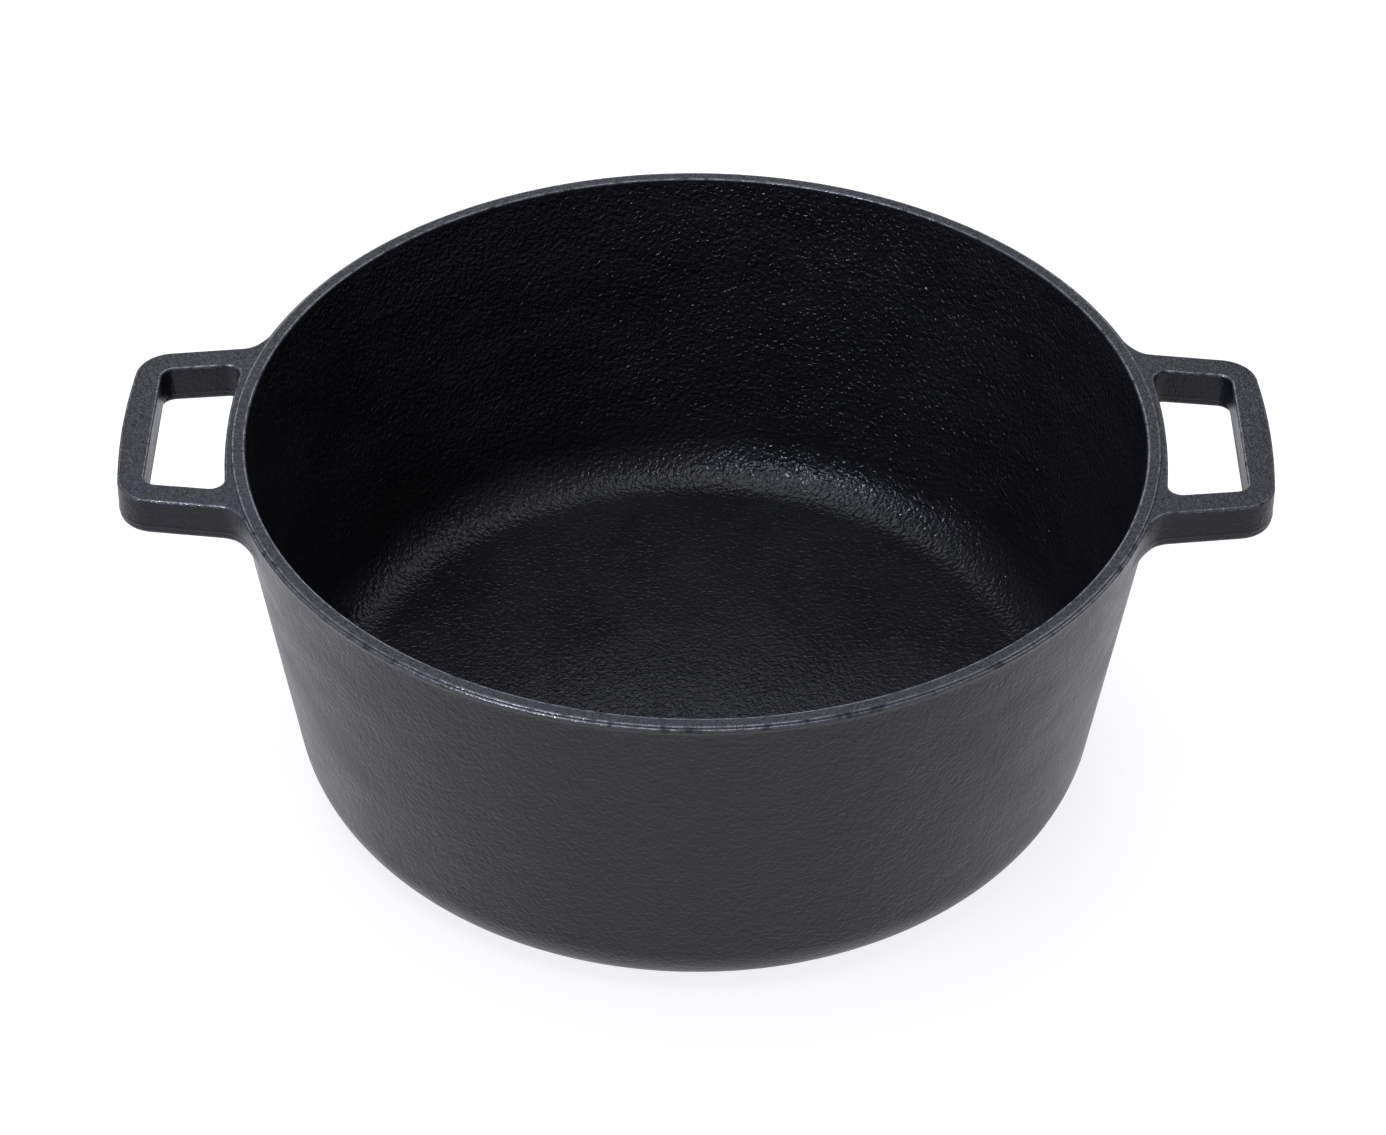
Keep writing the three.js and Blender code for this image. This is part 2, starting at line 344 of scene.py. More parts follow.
def grown(name, base, tree, values):
    """Runs a tree on a base object and returns its result as a plain mesh object."""
    modifier = base.modifiers.new(tree.name, "NODES")
    modifier.node_group = tree
    for item in tree.interface.items_tree:
        if item.in_out == "INPUT" and item.name in values:
            modifier[item.identifier] = values[item.name]
    depsgraph = bpy.context.evaluated_depsgraph_get()
    mesh = bpy.data.meshes.new_from_object(base.evaluated_get(depsgraph))
    base.modifiers.clear()
    bpy.data.objects.remove(base)
    mesh.name = name
    piece = bpy.data.objects.new(name, mesh)
    bpy.context.scene.collection.objects.link(piece)
    pot_pieces().objects.link(piece)
    face_outwards(mesh)
    mesh.set_sharp_from_angle(angle=SHARP_ANGLE)
    mark_worn_edges(mesh)
    return piece


def face_outwards(mesh):
    """Turns every face of a closed body outwards."""
    work = bmesh.new()
    work.from_mesh(mesh)
    bmesh.ops.remove_doubles(work, verts=work.verts, dist=MERGE_GAP)
    bmesh.ops.recalc_face_normals(work, faces=work.faces)
    work.to_mesh(mesh)
    work.free()


def mark_worn_edges(mesh):
    """Stores how sharply convex the surface is at each point, from 0 to 1, as worn.

    Only edges that face upwards, or that the pot stands on, get rubbed."""
    # Curvatures, in 1/mm, at which rubbing starts and is complete.
    least, most = 0.35, 1.15
    shortest_step = 0.05 * MM
    facing_up, near_table = 0.2, 1 * MM
    count = len(mesh.vertices)
    places = np.empty(count * 3)
    normals = np.empty(count * 3)
    edges = np.empty(len(mesh.edges) * 2, np.int64)
    mesh.vertices.foreach_get("co", places)
    mesh.vertices.foreach_get("normal", normals)
    mesh.edges.foreach_get("vertices", edges)
    places, normals, edges = places.reshape(-1, 3), normals.reshape(-1, 3), edges.reshape(-1, 2)
    sharpest = np.zeros(count)
    for here, there in ((edges[:, 0], edges[:, 1]), (edges[:, 1], edges[:, 0])):
        step = places[there] - places[here]
        drop = -(step * normals[here]).sum(1)
        reach = np.maximum((step**2).sum(1), shortest_step**2)
        np.maximum.at(sharpest, here, 2 * drop / reach * MM)
    reached = (normals[:, 2] > facing_up) | (places[:, 2] < near_table)
    worn = np.clip((sharpest - least) / (most - least), 0, 1) * reached
    mesh.attributes.new("worn", "FLOAT", "POINT").data.foreach_set("value", worn)


# ---------- outlines ----------

# Furthest that an outline's points lie apart. Rounds have closer points than straight stretches.
FLOOR_STEP = 3.6 * MM
WALL_STEP = 2.2 * MM
INNER_CORNER_STEP = 1 * MM
OUTER_CORNER_STEP = 1.1 * MM
SEAT_STEP = 0.4 * MM
SHOULDER_STEP = 0.2 * MM
FOOT_STEP = 2.4 * MM
FOOT_EDGE_STEP = 0.5 * MM
RECESS_STEP = 4.5 * MM
RECESS_CORNER_STEP = 0.7 * MM
HANDLE_STEP = 0.4 * MM
# Points down the lip below the shoulder.
LIP_POINTS = 6


def stretch(start, end, spacing):
    """Points from start up to but not including end, no further apart than spacing."""
    count = max(1, math.ceil(math.dist(start, end) / spacing))
    return [tuple(p) for p in np.linspace(start, end, count, endpoint=False)]


def arc(centre, radius, first, last, spacing):
    """Points along an arc from one angle to another, the last one left out."""
    count = max(2, math.ceil(abs(last - first) * radius / spacing))
    angles = np.linspace(first, last, count, endpoint=False)
    return [(centre[0] + radius * math.cos(a), centre[1] + radius * math.sin(a)) for a in angles]


def wall_outside(z, sizes):
    """Radius of the wall's outside at a height."""
    return sizes.wall_radius - (SHOULDER_Z - z) * WALL_SLOPE


def wall_inside(z, sizes):
    """Radius of the wall's inside at a height."""
    return sizes.mouth_radius - (HEIGHT - z) * WALL_SLOPE


def cooking_outline(sizes):
    """The section of the inside, from the axis over the cooking floor and up to the mouth."""
    corner = sizes.inner_corner
    centre_z = FLOOR_HIGH[2] + corner
    centre_r = wall_inside(centre_z, sizes) - corner / math.cos(WALL_LEAN)
    wall_foot = (centre_r + corner * math.cos(WALL_LEAN), centre_z - corner * math.sin(WALL_LEAN))
    mouth_z = HEIGHT - sizes.seat_edge
    mouth = (wall_inside(mouth_z, sizes), mouth_z)
    return [
        *stretch((0, FLOOR_HIGH[2]), (centre_r, FLOOR_HIGH[2]), FLOOR_STEP),
        *arc((centre_r, centre_z), corner, -QUARTER, -WALL_LEAN, INNER_CORNER_STEP),
        *stretch(wall_foot, mouth, WALL_STEP),
        mouth,
    ]


def rim_outline(sizes):
    """The section over the rim: the raised lid seat, the shoulder and its lip."""
    edge, foot, shoulder = sizes.seat_edge, sizes.seat_foot, sizes.shoulder_edge
    mouth_r, seat_r = sizes.mouth_radius, sizes.seat_radius
    lip_top = SHOULDER_Z - shoulder
    proud = RIM_R - wall_outside(lip_top, sizes)
    lip = []
    for share in np.linspace(0, 1, LIP_POINTS, endpoint=False):
        z = lip_top - share * (sizes.lip_depth - shoulder)
        lip.append((wall_outside(z, sizes) + proud * 0.5 * (1 + math.cos(math.pi * share)), z))
    return [
        *arc((mouth_r + edge, HEIGHT - edge), edge, 2 * QUARTER, QUARTER, edge / 3),
        *stretch((mouth_r + edge, HEIGHT), (seat_r - edge, HEIGHT), SEAT_STEP),
        *arc((seat_r - edge, HEIGHT - edge), edge, QUARTER, 0, edge / 3),
        *arc((seat_r + foot, SHOULDER_Z + foot), foot, 2 * QUARTER, 3 * QUARTER, foot / 2),
        *stretch((seat_r + foot, SHOULDER_Z), (RIM_R - shoulder, SHOULDER_Z), SHOULDER_STEP),
        *arc((RIM_R - shoulder, lip_top), shoulder, QUARTER, 0, shoulder / 4),
        *lip,
    ]


def outside_outline(sizes):
    """The section from below the lip down the wall, round the foot and under to the axis."""
    corner, edge, recess = sizes.outer_corner, sizes.foot_edge, sizes.recess_corner
    centre_z = sizes.outer_corner_z
    centre_r = wall_outside(centre_z, sizes) - corner / math.cos(WALL_LEAN)
    lip_low = SHOULDER_Z - sizes.lip_depth
    wall_foot = (centre_r + corner * math.cos(WALL_LEAN), centre_z - corner * math.sin(WALL_LEAN))
    # The corner round is cut off by a small round of its own just above the resting face.
    reach = corner - edge
    tip = math.asin((centre_z - edge) / reach)
    edge_r = centre_r + reach * math.cos(tip)
    recess_r = sizes.foot_inner - recess
    recess_z = FLOOR_LOW[2]
    return [
        *stretch((wall_outside(lip_low, sizes), lip_low), wall_foot, WALL_STEP),
        *arc((centre_r, centre_z), corner, -WALL_LEAN, -tip, OUTER_CORNER_STEP),
        *arc((edge_r, edge), edge, -tip, -QUARTER, FOOT_EDGE_STEP),
        *stretch((edge_r, 0), (sizes.foot_inner + edge, 0), FOOT_STEP),
        *arc((sizes.foot_inner + edge, edge), edge, -QUARTER, -2 * QUARTER, FOOT_EDGE_STEP),
        *arc((recess_r, recess_z - recess), recess, 0, QUARTER, RECESS_CORNER_STEP),
        *stretch((recess_r, recess_z), (0, recess_z), RECESS_STEP),
        (0, recess_z),
    ]


def chain(name, points, marks):
    """An object that holds an outline as loose points in X and Z, each with its inside mark."""
    mesh = bpy.data.meshes.new(name)
    mesh.from_pydata([(r, 0, z) for r, z in points], [], [])
    mesh.attributes.new("inside", "FLOAT", "POINT").data.foreach_set("value", marks)
    base = bpy.data.objects.new(name, mesh)
    bpy.context.scene.collection.objects.link(base)
    return base


# ---------- handles ----------


def rounded_loop(corners, spacing):
    """A closed plan outline through corners (x, y, radius), each rounded to its radius."""
    points = []
    for i, (x, y, radius) in enumerate(corners):
        here = np.array((x, y))
        back = np.array(corners[i - 1][:2]) - here
        on = np.array(corners[(i + 1) % len(corners)][:2]) - here
        back, on = back / np.linalg.norm(back), on / np.linalg.norm(on)
        if not radius:
            points.append(tuple(here))
            continue
        half = math.acos(np.clip(back @ on, -1, 1)) / 2
        middle = back + on
        centre = here + middle / np.linalg.norm(middle) * radius / math.sin(half)
        start = here + back * radius / math.tan(half) - centre
        end = here + on * radius / math.tan(half) - centre
        first = math.atan2(start[1], start[0])
        turn = math.remainder(math.atan2(end[1], end[0]) - first, math.tau)
        points += arc(centre, radius, first, first + turn, spacing)
        points.append(tuple(centre + end))
    return np.array(points)


def mirrored(corners):
    """The same corners on the other side of the handle's middle, in the order of going round."""
    return [(x, -y, radius) for x, y, radius in reversed(corners)]


def handle_loops(sizes):
    """The right handle's plan: the outside of its loop, run into the pot, and its finger hole."""
    # The flare's outline meets the wall at a slant and carries on inside it.
    flare_length = 2.2 * sizes.root_round
    along = math.atan2(sizes.root_y, sizes.root_x) + flare_length / RIM_R
    inside_wall = RIM_R - sizes.flare_dive
    flare = (inside_wall * math.cos(along), inside_wall * math.sin(along), 0)
    buried = (flare[0] - 2 * sizes.root_round, flare[1], 0)
    upper = [
        (sizes.corner_x, sizes.corner_y, sizes.corner_round),
        (sizes.root_x, sizes.root_y, sizes.root_round),
        flare,
        buried,
    ]
    bow = (GRIP_HIGH[0] + sizes.grip_bow, 0, sizes.grip_bow_round)
    outer = rounded_loop([bow, *upper, *mirrored(upper)], HANDLE_STEP)
    side = [
        (sizes.hole_outer_x, sizes.hole_outer_y, sizes.hole_round),
        (sizes.hole_inner_x, sizes.hole_inner_y, sizes.hole_round),
    ]
    inner_bow = (sizes.hole_x + sizes.hole_bow, 0, sizes.hole_bow_round)
    hole = rounded_loop([*side, inner_bow, *mirrored(side)], HANDLE_STEP)
    return outer, hole


def plan_distance(x, y, loop):
    """Distance of plan points from a closed loop, negative inside it."""
    nearest = np.full(x.shape, np.inf)
    inside = np.zeros(x.shape, bool)
    for (ax, ay), (bx, by) in zip(loop, np.roll(loop, -1, axis=0)):
        ex, ey = bx - ax, by - ay
        px, py = x - ax, y - ay
        along = np.clip((px * ex + py * ey) / (ex * ex + ey * ey), 0, 1)
        nearest = np.minimum(nearest, (px - along * ex) ** 2 + (py - along * ey) ** 2)
        if ay != by:
            inside ^= ((ay > y) != (by > y)) & (px < ex * py / ey)
    return np.where(inside, -1, 1) * np.sqrt(nearest)


def meet_rounded(a, b, radius):
    """What two bodies share, with a rounded edge, as distances."""
    return np.minimum(np.maximum(a, b), -radius) + np.hypot(
        np.maximum(a + radius, 0), np.maximum(b + radius, 0)
    )


def join_filleted(a, b, radius):
    """Two bodies joined with a fillet, as distances."""
    return np.maximum(np.minimum(a, b), radius) - np.hypot(
        np.maximum(radius - a, 0), np.maximum(radius - b, 0)
    )


class HandleForm:
    """The right handle as a distance from its surface, negative inside the iron."""

    # The root carries on inside the wall, a hair below its surface, where it isn't seen.
    hidden = 0.04 * MM
    depth = 2.4 * MM
    reach = 60 * MM
    skirt = 9 * MM
    # Below the parting line the sides draw in, so that the casting leaves the mould.
    draft = math.radians(4)
    flash_height = 0.1 * MM
    flash_width = 0.35 * MM
    # The fillet dies out along the flare between these, where the root gets thin.
    fade_start, fade_end = 38 * MM, 55 * MM
    least_fillet = 0.02 * MM
    # The top stands a hair proud of the shoulder, and the flare's ends sink below it.
    proud = 0.02 * MM
    sink_start, sink_end, sink_depth = 44 * MM, 50 * MM, 0.08 * MM

    def __init__(self, sizes, wall_radius):
        self.sizes = sizes
        self.wall_radius = wall_radius
        self.outer, self.hole = handle_loops(sizes)
        self.low = GRIP_LOW[2]
        self.parting_z = SHOULDER_Z - sizes.parting

    def plan(self, x, y):
        """Distances in plan from the loop's outside and from the finger hole."""
        return plan_distance(x, y, self.outer), plan_distance(x, y, self.hole)

    def distance(self, x, y, z, outer, hole):
        """Distance of points from the surface, given their distances in plan."""
        sizes = self.sizes
        radius = np.hypot(x, y)
        drawn_in = np.maximum(self.parting_z - z, 0) * math.tan(self.draft)
        flash = self.flash_height * np.exp(-(((z - self.parting_z) / self.flash_width) ** 2))
        body = meet_rounded(outer + drawn_in - flash, self.low - z, sizes.low_edge)
        wall_r = self.wall_radius - (SHOULDER_Z - z) * WALL_SLOPE
        wall = (radius - wall_r) * math.cos(WALL_LEAN) + self.hidden
        fade = np.clip((np.abs(y) - self.fade_start) / (self.fade_end - self.fade_start), 0, 1)
        fillet = sizes.fillet * (1 - fade * fade * (3 - 2 * fade)) + self.least_fillet
        joined = join_filleted(body, wall, fillet)
        pierced = meet_rounded(joined, drawn_in - flash - hole, sizes.low_edge)
        kept = np.maximum(pierced, wall_r - self.depth - radius)
        kept = np.maximum(kept, np.abs(y) - self.reach)
        kept = np.maximum(kept, self.low - self.skirt - z)
        sink = np.clip((np.abs(y) - self.sink_start) / (self.sink_end - self.sink_start), 0, 1)
        over = z - SHOULDER_Z + sink * self.sink_depth - self.proud
        return meet_rounded(kept, over, sizes.top_edge)

    def settle(self, points):
        """Moves points that are near the surface onto it, a part of a cell at a time."""
        small = 0.02 * MM
        least_slope = 0.2
        limit = 0.3 * self.sizes.cell
        for _ in range(3):
            x, y, z = points.T
            plan = self.plan(x, y)
            value = self.distance(x, y, z, *plan)
            slope = np.stack([
                self.distance(x + small, y, z, *self.plan(x + small, y)),
                self.distance(x, y + small, z, *self.plan(x, y + small)),
                self.distance(x, y, z + small, *plan),
            ], 1)
            slope = (slope - value[:, None]) / small
            steep = np.maximum((slope**2).sum(1), least_slope)
            shift = slope * (value / steep)[:, None]
            size = np.linalg.norm(shift, axis=1, keepdims=True)
            points = points - shift * np.minimum(1, limit / np.maximum(size, 1e-12))
        return points


def levels(low, high, fine_at, coarse, fine):
    """Heights from low to high, closer together near each height in fine_at."""
    fine_band = 5 * fine
    found = [low]
    while found[-1] < high:
        near = min(abs(found[-1] - z) for z in fine_at)
        found.append(found[-1] + (fine if near < fine_band else coarse))
    return np.array(found)


def skin_of(field, axes):
    """A quad mesh of the surface where a field on a grid changes sign.

    Each cell that the surface crosses gets one point, at the middle of its crossings."""
    inside = field < 0
    cells = tuple(n - 1 for n in field.shape)
    total = np.zeros((*cells, 3))
    count = np.zeros(cells)
    quads = []
    for axis in range(3):
        low = tuple(slice(None, -1) if a == axis else slice(None) for a in range(3))
        high = tuple(slice(1, None) if a == axis else slice(None) for a in range(3))
        crossed = inside[low] != inside[high]
        start = np.argwhere(crossed)
        before, after = field[low][crossed], field[high][crossed]
        place = np.stack([axes[a][start[:, a]] for a in range(3)], 1)
        gap = axes[axis][start[:, axis] + 1] - place[:, axis]
        place[:, axis] += gap * before / (before - after)
        u, v = (a for a in range(3) if a != axis)
        corners = []
        for du, dv in ((0, 0), (-1, 0), (-1, -1), (0, -1)):
            cell = start.copy()
            cell[:, u] += du
            cell[:, v] += dv
            np.add.at(total, tuple(cell.T), place)
            np.add.at(count, tuple(cell.T), 1)
            corners.append(np.ravel_multi_index(tuple(cell.T), cells))
        quads.append(np.stack(corners, 1))
    used = np.flatnonzero(count.ravel())
    number = np.zeros(count.size, np.int64)
    number[used] = np.arange(len(used))
    points = total.reshape(-1, 3)[used] / count.ravel()[used, None]
    return points, number[np.concatenate(quads)]


def handle_mesh(sizes, wall_radius):
    """The right handle as points and quads."""
    form = HandleForm(sizes, wall_radius)
    cell = sizes.cell
    near = math.sqrt((RIM_R - 4 * form.depth) ** 2 - form.reach**2)
    xs = np.arange(near, GRIP_HIGH[0] + 3 * cell, cell)
    ys = np.arange(-form.reach - 2.5 * cell, form.reach + 3 * cell, cell)
    fine_at = (SHOULDER_Z, form.parting_z, form.low)
    zs = levels(form.low - form.skirt - 3 * cell, SHOULDER_Z + cell, fine_at, cell, 0.5 * cell)
    x, y, z = xs[:, None, None], ys[None, :, None], zs[None, None, :]
    outer, hole = form.plan(*np.broadcast_arrays(x[..., 0], y[..., 0]))
    field = form.distance(x, y, z, outer[..., None], hole[..., None])
    points, quads = skin_of(field, (xs, ys, zs))
    return form.settle(points), quads


# ---------- finishes ----------

# Hazy patches lie round the pot, this long and flatter by this much.
HAZE_PATCH = 38 * MM
HAZE_FLATTENING = 2.2
# How much smoother the clear skin is than its roughness says, and how much rougher the haze.
HAZE_SMOOTHER, HAZE_ROUGHER = 0.04, 0.06
# Spots in which an edge's seasoning is rubbed through.
RUB_SPOT = 3.5 * MM
# Share of the grain that is left on a rubbed edge.
RUBBED_GRAIN = 0.3
# The cooking floor's own grain gives way to the wall's between these heights above it.
FLOOR_GRAIN_END, WALL_GRAIN_START = 1 * MM, 26 * MM
# The level faces' ripple comes in between these depths below the shoulder.
RIPPLE_START, RIPPLE_FULL = 0.6 * MM, 0.1 * MM


def oily_haze(tree, place):
    """How hazed the skin is, from 0 to 1. Oil wiped round the pot dries in long patches."""
    stretch_by = (1, 1, HAZE_FLATTENING)
    wiped = add(tree, "ShaderNodeMapping", {"Vector": place, "Scale": stretch_by}).outputs[0]
    patches = add(
        tree, "ShaderNodeTexNoise",
        {
            "Vector": wiped, "Scale": 1 / HAZE_PATCH, "Detail": 5.0, "Roughness": 0.6,
            "Distortion": 0.6,
        },
    ).outputs[0]
    inputs = {"Value": patches, "From Min": 0.36, "From Max": 0.68}
    return add(tree, "ShaderNodeMapRange", inputs).outputs[0]


def rubbed_edges(tree, place, edge):
    """How far the edges are rubbed through, from 0 to 1, in spots some millimetres long."""
    spots = add(
        tree, "ShaderNodeTexNoise",
        {"Vector": place, "Scale": 1 / RUB_SPOT, "Detail": 2.0, "Roughness": 0.5},
    ).outputs[0]
    inputs = {"Value": spots, "From Min": 0.32, "From Max": 0.52}
    rub = add(tree, "ShaderNodeMapRange", inputs).outputs[0]
    return add(tree, "ShaderNodeMath", {0: edge, 1: rub}, operation="MULTIPLY").outputs[0]


def grained(tree, place, grain, share, normal, distortion=0.5):
    """The normal with one more grain (size, height, detail) on what the coarser ones gave."""
    size, height, detail = grain
    sand = add(
        tree, "ShaderNodeTexNoise",
        {
            "Vector": place, "Scale": 1 / size, "Detail": detail, "Roughness": 0.5,
            "Distortion": distortion,
        },
    ).outputs[0]
    inputs = {"Height": sand, "Distance": height, "Strength": share}
    if normal:
        inputs["Normal"] = normal
    return add(tree, "ShaderNodeBump", inputs).outputs[0]


def cast_iron(name, colours, bare, gloss, specular, grains, ripple=None, floor_share=1.0):
    """Seasoned iron as cast in sand.

    colours are those of the skin, its hazed patches and its worn edges, and bare is how far bare
    metal shows at those edges. gloss is the roughness of the skin and of its worn edges. grains
    holds (size, height, detail) for each grain, coarse to fine, and ripple is one more for the
    level faces at the rim only. floor_share is how much of the grain is left on the cooking
    floor."""
    base, smear, worn = colours
    material = bpy.data.materials.new(name)
    material.use_nodes = True
    tree = material.node_tree
    tree.nodes.clear()
    place = add(tree, "ShaderNodeTexCoord").outputs["Object"]
    z = add(tree, "ShaderNodeSeparateXYZ", {0: place}).outputs["Z"]
    edge = add(tree, "ShaderNodeAttribute", attribute_name="worn").outputs["Fac"]
    haze = oily_haze(tree, place)
    rubbed = rubbed_edges(tree, place, edge)
    skin = add(
        tree, "ShaderNodeMix", {"Factor": haze, "A": tuple(base), "B": tuple(smear)},
        data_type="RGBA",
    ).outputs["Result"]
    tint = add(
        tree, "ShaderNodeMix", {"Factor": rubbed, "A": skin, "B": tuple(worn)}, data_type="RGBA"
    ).outputs["Result"]
    skin_rough, worn_rough = gloss
    patchy = add(
        tree, "ShaderNodeMapRange",
        {
            "Value": haze, "To Min": skin_rough - HAZE_SMOOTHER,
            "To Max": skin_rough + HAZE_ROUGHER,
        },
    ).outputs[0]
    rough = add(
        tree, "ShaderNodeMix", {"Factor": rubbed, "A": patchy, "B": worn_rough},
        data_type="FLOAT",
    ).outputs["Result"]
    metal = add(tree, "ShaderNodeMath", {0: rubbed, 1: bare}, operation="MULTIPLY").outputs[0]
    # The cooking floor is smoother than the wall, and gives way to it up the inner corner.
    floor_z = FLOOR_HIGH[2]
    share = add(
        tree, "ShaderNodeMapRange",
        {
            "Value": z, "From Min": floor_z + FLOOR_GRAIN_END,
            "From Max": floor_z + WALL_GRAIN_START, "To Min": floor_share,
        },
    ).outputs[0]
    # Rubbing takes the grain off with the seasoning.
    left = add(
        tree, "ShaderNodeMapRange", {"Value": edge, "To Min": 1.0, "To Max": RUBBED_GRAIN}
    ).outputs[0]
    share = add(tree, "ShaderNodeMath", {0: share, 1: left}, operation="MULTIPLY").outputs[0]
    normal = None
    for grain in grains:
        normal = grained(tree, place, grain, share, normal)
    if ripple:
        at_rim = add(
            tree, "ShaderNodeMapRange",
            {
                "Value": z, "From Min": SHOULDER_Z - RIPPLE_START,
                "From Max": SHOULDER_Z - RIPPLE_FULL,
            },
        ).outputs[0]
        level = add(tree, "ShaderNodeMath", {0: at_rim, 1: left}, operation="MULTIPLY").outputs[0]
        normal = grained(tree, place, ripple, level, normal, distortion=1.2)
    shader = add(
        tree, "ShaderNodeBsdfPrincipled",
        {
            "Base Color": tint, "Roughness": rough, "Normal": normal, "Metallic": metal,
            "IOR": 1.5, "Specular IOR Level": specular,
        },
    ).outputs[0]
    add(tree, "ShaderNodeOutputMaterial", {"Surface": shader})
    return material


def iron_skins(finish):
    """The outside and the cooking surface of the same seasoned casting."""
    # Iron cast in sand, oiled and baked: near black and satin over an even sand grain, with
    # greyer, shinier metal at the edges that hands and lids rub.
    outside = cast_iron(
        "seasoned_sand_cast_iron",
        (finish.skin, finish.skin_smear, finish.skin_worn),
        bare=0.65,
        gloss=(0.36, 0.17),
        specular=0.25,
        grains=((5 * finish.grain, 0.18 * MM, 1.0), (finish.grain, 0.25 * MM, 1.0)),
        ripple=(finish.ripple, 0.55 * MM, 1.0),
    )
    # Inside, the same iron over a rougher core mould, with more oil on it: blacker and glossier,
    # so that each pebble throws a small glint. Nothing rubs the seasoning off there.
    inside = cast_iron(
        "seasoned_iron_cooking_surface",
        (finish.cooking, finish.cooking_smear, finish.cooking_smear),
        bare=0.0,
        gloss=(0.21, 0.2),
        specular=0.15,
        grains=((finish.pebble, 1.1 * MM, 1.0),),
        floor_share=0.42,
    )
    return outside, inside


def found_or_made_skins(context):
    """The two finishes, made the first time that a piece asks for them."""
    names = ("seasoned_sand_cast_iron", "seasoned_iron_cooking_surface")
    found = [bpy.data.materials.get(name) for name in names]
    return found if all(found) else iron_skins(context.scene.oven_finish)


# ---------- operators ----------

# One seed for every piece, so that the waviness runs on from the bowl to the handles.
WAVE_SEED = 3.0


class OVEN_OT_bowl(bpy.types.Operator):
    """Turn the bowl: cooking floor, side wall, rim with its lid seat, and foot ring"""

    bl_idname = "oven.bowl"
    bl_label = "Bowl"

    def execute(self, context):
        sizes, finish = context.scene.oven_pot, context.scene.oven_finish
        outside, inside = found_or_made_skins(context)
        cooking = cooking_outline(sizes)
        shell = [*rim_outline(sizes), *outside_outline(sizes)]
        marks = [1.0] * len(cooking) + [0.0] * len(shell)
        bowl = grown("pot_bowl", chain("bowl_outline", cooking + shell, marks), turning_tree(), {
            "Points": len(marks), "Facets": sizes.facets, "Relief": finish.relief,
            "Wave": finish.wave, "Seed": WAVE_SEED, "Outside": outside, "Inside": inside,
        })
        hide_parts(*POT_NODES)
        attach(bowl, "root")
        return {"FINISHED"}


class OVEN_OT_handles(bpy.types.Operator):
    """Shape the two loop handles, with roots that flare into the wall"""

    bl_idname = "oven.handles"
    bl_label = "Loop handles"

    def execute(self, context):
        sizes, finish = context.scene.oven_handle, context.scene.oven_finish
        outside, _ = found_or_made_skins(context)
        points, quads = handle_mesh(sizes, context.scene.oven_pot.wall_radius)
        for side, turn in (("right", 1), ("left", -1)):
            mesh = bpy.data.meshes.new(f"{side}_handle_form")
            mesh.from_pydata(points * (turn, turn, 1), [], quads.tolist())
            base = bpy.data.objects.new(mesh.name, mesh)
            context.scene.collection.objects.link(base)
            face_outwards(mesh)
            handle = grown(f"{side}_handle", base, skin_tree(), {
                "Relief": finish.relief, "Wave": finish.wave, "Seed": WAVE_SEED,
                "Outside": outside,
            })
            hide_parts(*(f"{side}_handle_{section}" for section in HANDLE_SECTIONS))
            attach(handle, "root")
        return {"FINISHED"}


class OVEN_OT_studio(bpy.types.Operator):
    """Lay the floor, hang the lights and set up the camera"""

    bl_idname = "oven.studio"
    bl_label = "Studio"

    def execute(self, context):
        settings = context.scene.oven_studio
        lay_floor(context, settings)
        hang_lights(context, settings)
        place_camera(context, settings)
        return {"FINISHED"}


def lay_floor(context, settings):
    """A table that fills the view, a hair below the pot's resting face."""
    half, level = 4.0, -0.02 * MM
    corners = ((-half, -half), (half, -half), (half, half), (-half, half))
    mesh = bpy.data.meshes.new("studio_floor")
    mesh.from_pydata([(x, y, level) for x, y in corners], [], [(0, 1, 2, 3)])
    floor = bpy.data.objects.new("studio_floor", mesh)
    # White acrylic sheet lit from below, with a matt face: no sharp reflection, a soft shadow.
    material = bpy.data.materials.new("back_lit_white_acrylic")
    material.use_nodes = True
    shader = material.node_tree.nodes["Principled BSDF"]
    for name, value in (
        ("Base Color", tuple(settings.floor)), ("Roughness", 0.9), ("Specular IOR Level", 0.05),
        ("Emission Color", linear("#FCFBFF")), ("Emission Strength", settings.floor_glow),
    ):
        shader.inputs[name].default_value = value
    mesh.materials.append(material)
    context.scene.collection.objects.link(floor)


def hang_lights(context, settings):
    """A dim white room with four softboxes, two of which are kept off the table."""
    room_tint, cool, pale = "#F1F4FF", "#E4E9FF", "#F6F6FF"
    world = bpy.data.worlds.new("white_room")
    world.use_nodes = True
    background = world.node_tree.nodes["Background"]
    background.inputs["Color"].default_value = linear(room_tint)
    background.inputs["Strength"].default_value = settings.room
    context.scene.world = world
    aim = Vector((0, 0, 0.06))
    # Place, direction from the pot, distance, width and height in metres, power, tint, and
    # whether the light is kept to the pot.
    softboxes = (
        ("front_left", (-0.487, -0.487, 0.725), 1.7, (0.2, 0.2), settings.key_power, cool, True),
        ("overhead", (-0.12, 0.02, 1), 1.5, (1.5, 1.0), settings.overhead_power, room_tint, False),
        ("back", (-0.1, 0.8, 0.55), 1.9, (1.5, 0.8), settings.back_power, room_tint, False),
        ("right", (0.55, 0.35, 0.75), 1.6, (0.9, 0.7), settings.right_power, pale, True),
    )
    for place, towards, far, size, power, tint, pot_only in softboxes:
        light = bpy.data.lights.new(f"softbox_{place}", "AREA")
        light.shape = "RECTANGLE"
        light.size, light.size_y = size
        light.energy = power
        light.color = linear(tint)[:3]
        lamp = bpy.data.objects.new(light.name, light)
        context.scene.collection.objects.link(lamp)
        away = Vector(towards).normalized()
        turn = away.to_track_quat("Z", "Y").to_matrix().to_4x4()
        lamp.matrix_world = Matrix.Translation(aim + far * away) @ turn
        if pot_only:
            lamp.light_linking.receiver_collection = pot_pieces()


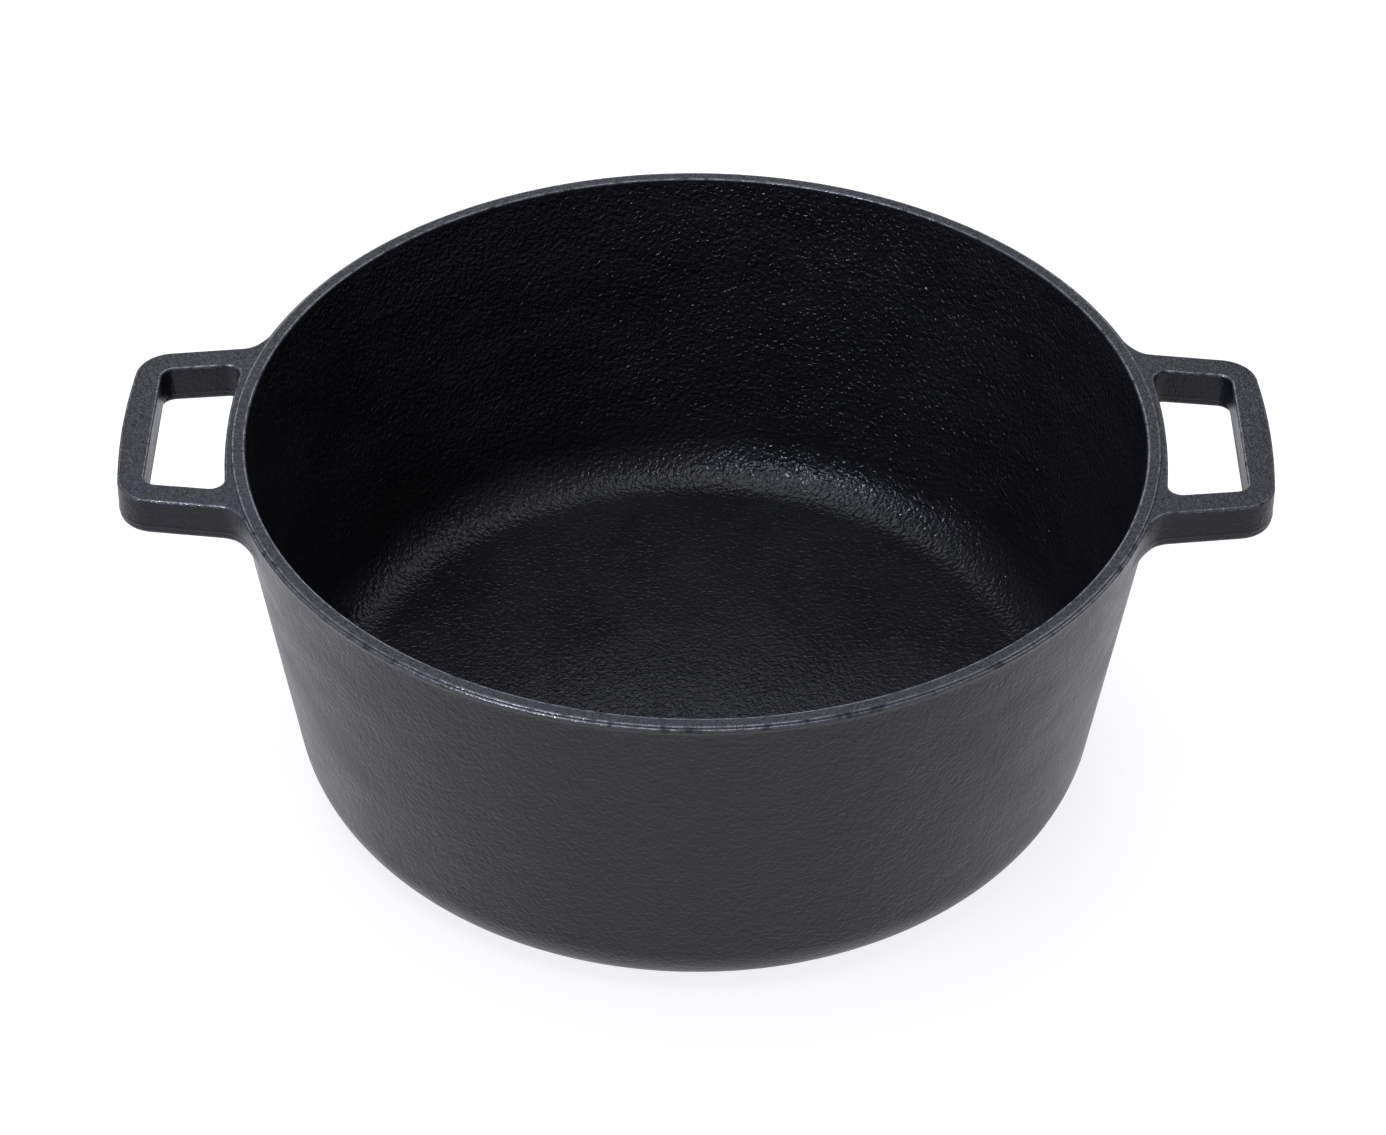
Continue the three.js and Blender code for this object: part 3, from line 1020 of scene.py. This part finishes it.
def place_camera(context, settings):
    """A long lens looking down across the front of the pot."""
    camera = bpy.data.cameras.new("studio_camera")
    camera.sensor_width = 36
    camera.sensor_fit = "HORIZONTAL"
    camera.lens = settings.camera_lens
    camera.clip_start = 0.05
    holder = bpy.data.objects.new("studio_camera", camera)
    context.scene.collection.objects.link(holder)
    tilt = settings.camera_elevation
    # The rim's middle sits a little above and left of the line of sight.
    offset, drop, distance = 0.743 * MM, 40.54 * MM, settings.camera_distance
    place = (
        -offset,
        -drop * math.sin(tilt) - distance * math.cos(tilt),
        HEIGHT - drop * math.cos(tilt) + distance * math.sin(tilt),
    )
    turn = Matrix.Rotation(QUARTER - tilt, 4, "X") @ Matrix.Rotation(settings.camera_roll, 4, "Z")
    holder.matrix_world = Matrix.Translation(place) @ turn
    context.scene.camera = holder
    context.scene.view_settings.view_transform = "Standard"


# ---------- panel and registration ----------

OPERATORS = (OVEN_OT_bowl, OVEN_OT_handles, OVEN_OT_studio)


class OVEN_PT_panel(bpy.types.Panel):
    """Dutch oven sizes, finishes and build steps"""

    bl_idname = "OVEN_PT_panel"
    bl_label = "Dutch Oven"
    bl_space_type = "VIEW_3D"
    bl_region_type = "UI"
    bl_category = "Dutch Oven"

    def draw(self, context):
        column = self.layout.column()
        for operator in OPERATORS:
            column.operator(operator.bl_idname)
        for group in GROUPS:
            column.separator()
            settings = getattr(context.scene, group)
            for name in settings.__annotations__:
                column.prop(settings, name)


GROUPS = {
    "oven_pot": PotSizes,
    "oven_handle": HandleSizes,
    "oven_finish": IronFinish,
    "oven_studio": StudioSettings,
}


def register():
    """Registers the classes and gives each scene its settings."""
    for group in (*GROUPS.values(), *OPERATORS, OVEN_PT_panel):
        bpy.utils.register_class(group)
    for name, group in GROUPS.items():
        setattr(bpy.types.Scene, name, PointerProperty(type=group))


def unregister():
    """Takes the settings and the classes away again."""
    for name in GROUPS:
        delattr(bpy.types.Scene, name)
    for group in reversed((*GROUPS.values(), *OPERATORS, OVEN_PT_panel)):
        bpy.utils.unregister_class(group)


def main():
    """Builds the whole scene."""
    register()
    bpy.ops.oven.studio()
    bpy.ops.oven.bowl()
    bpy.ops.oven.handles()


if __name__ == "__main__":
    main()
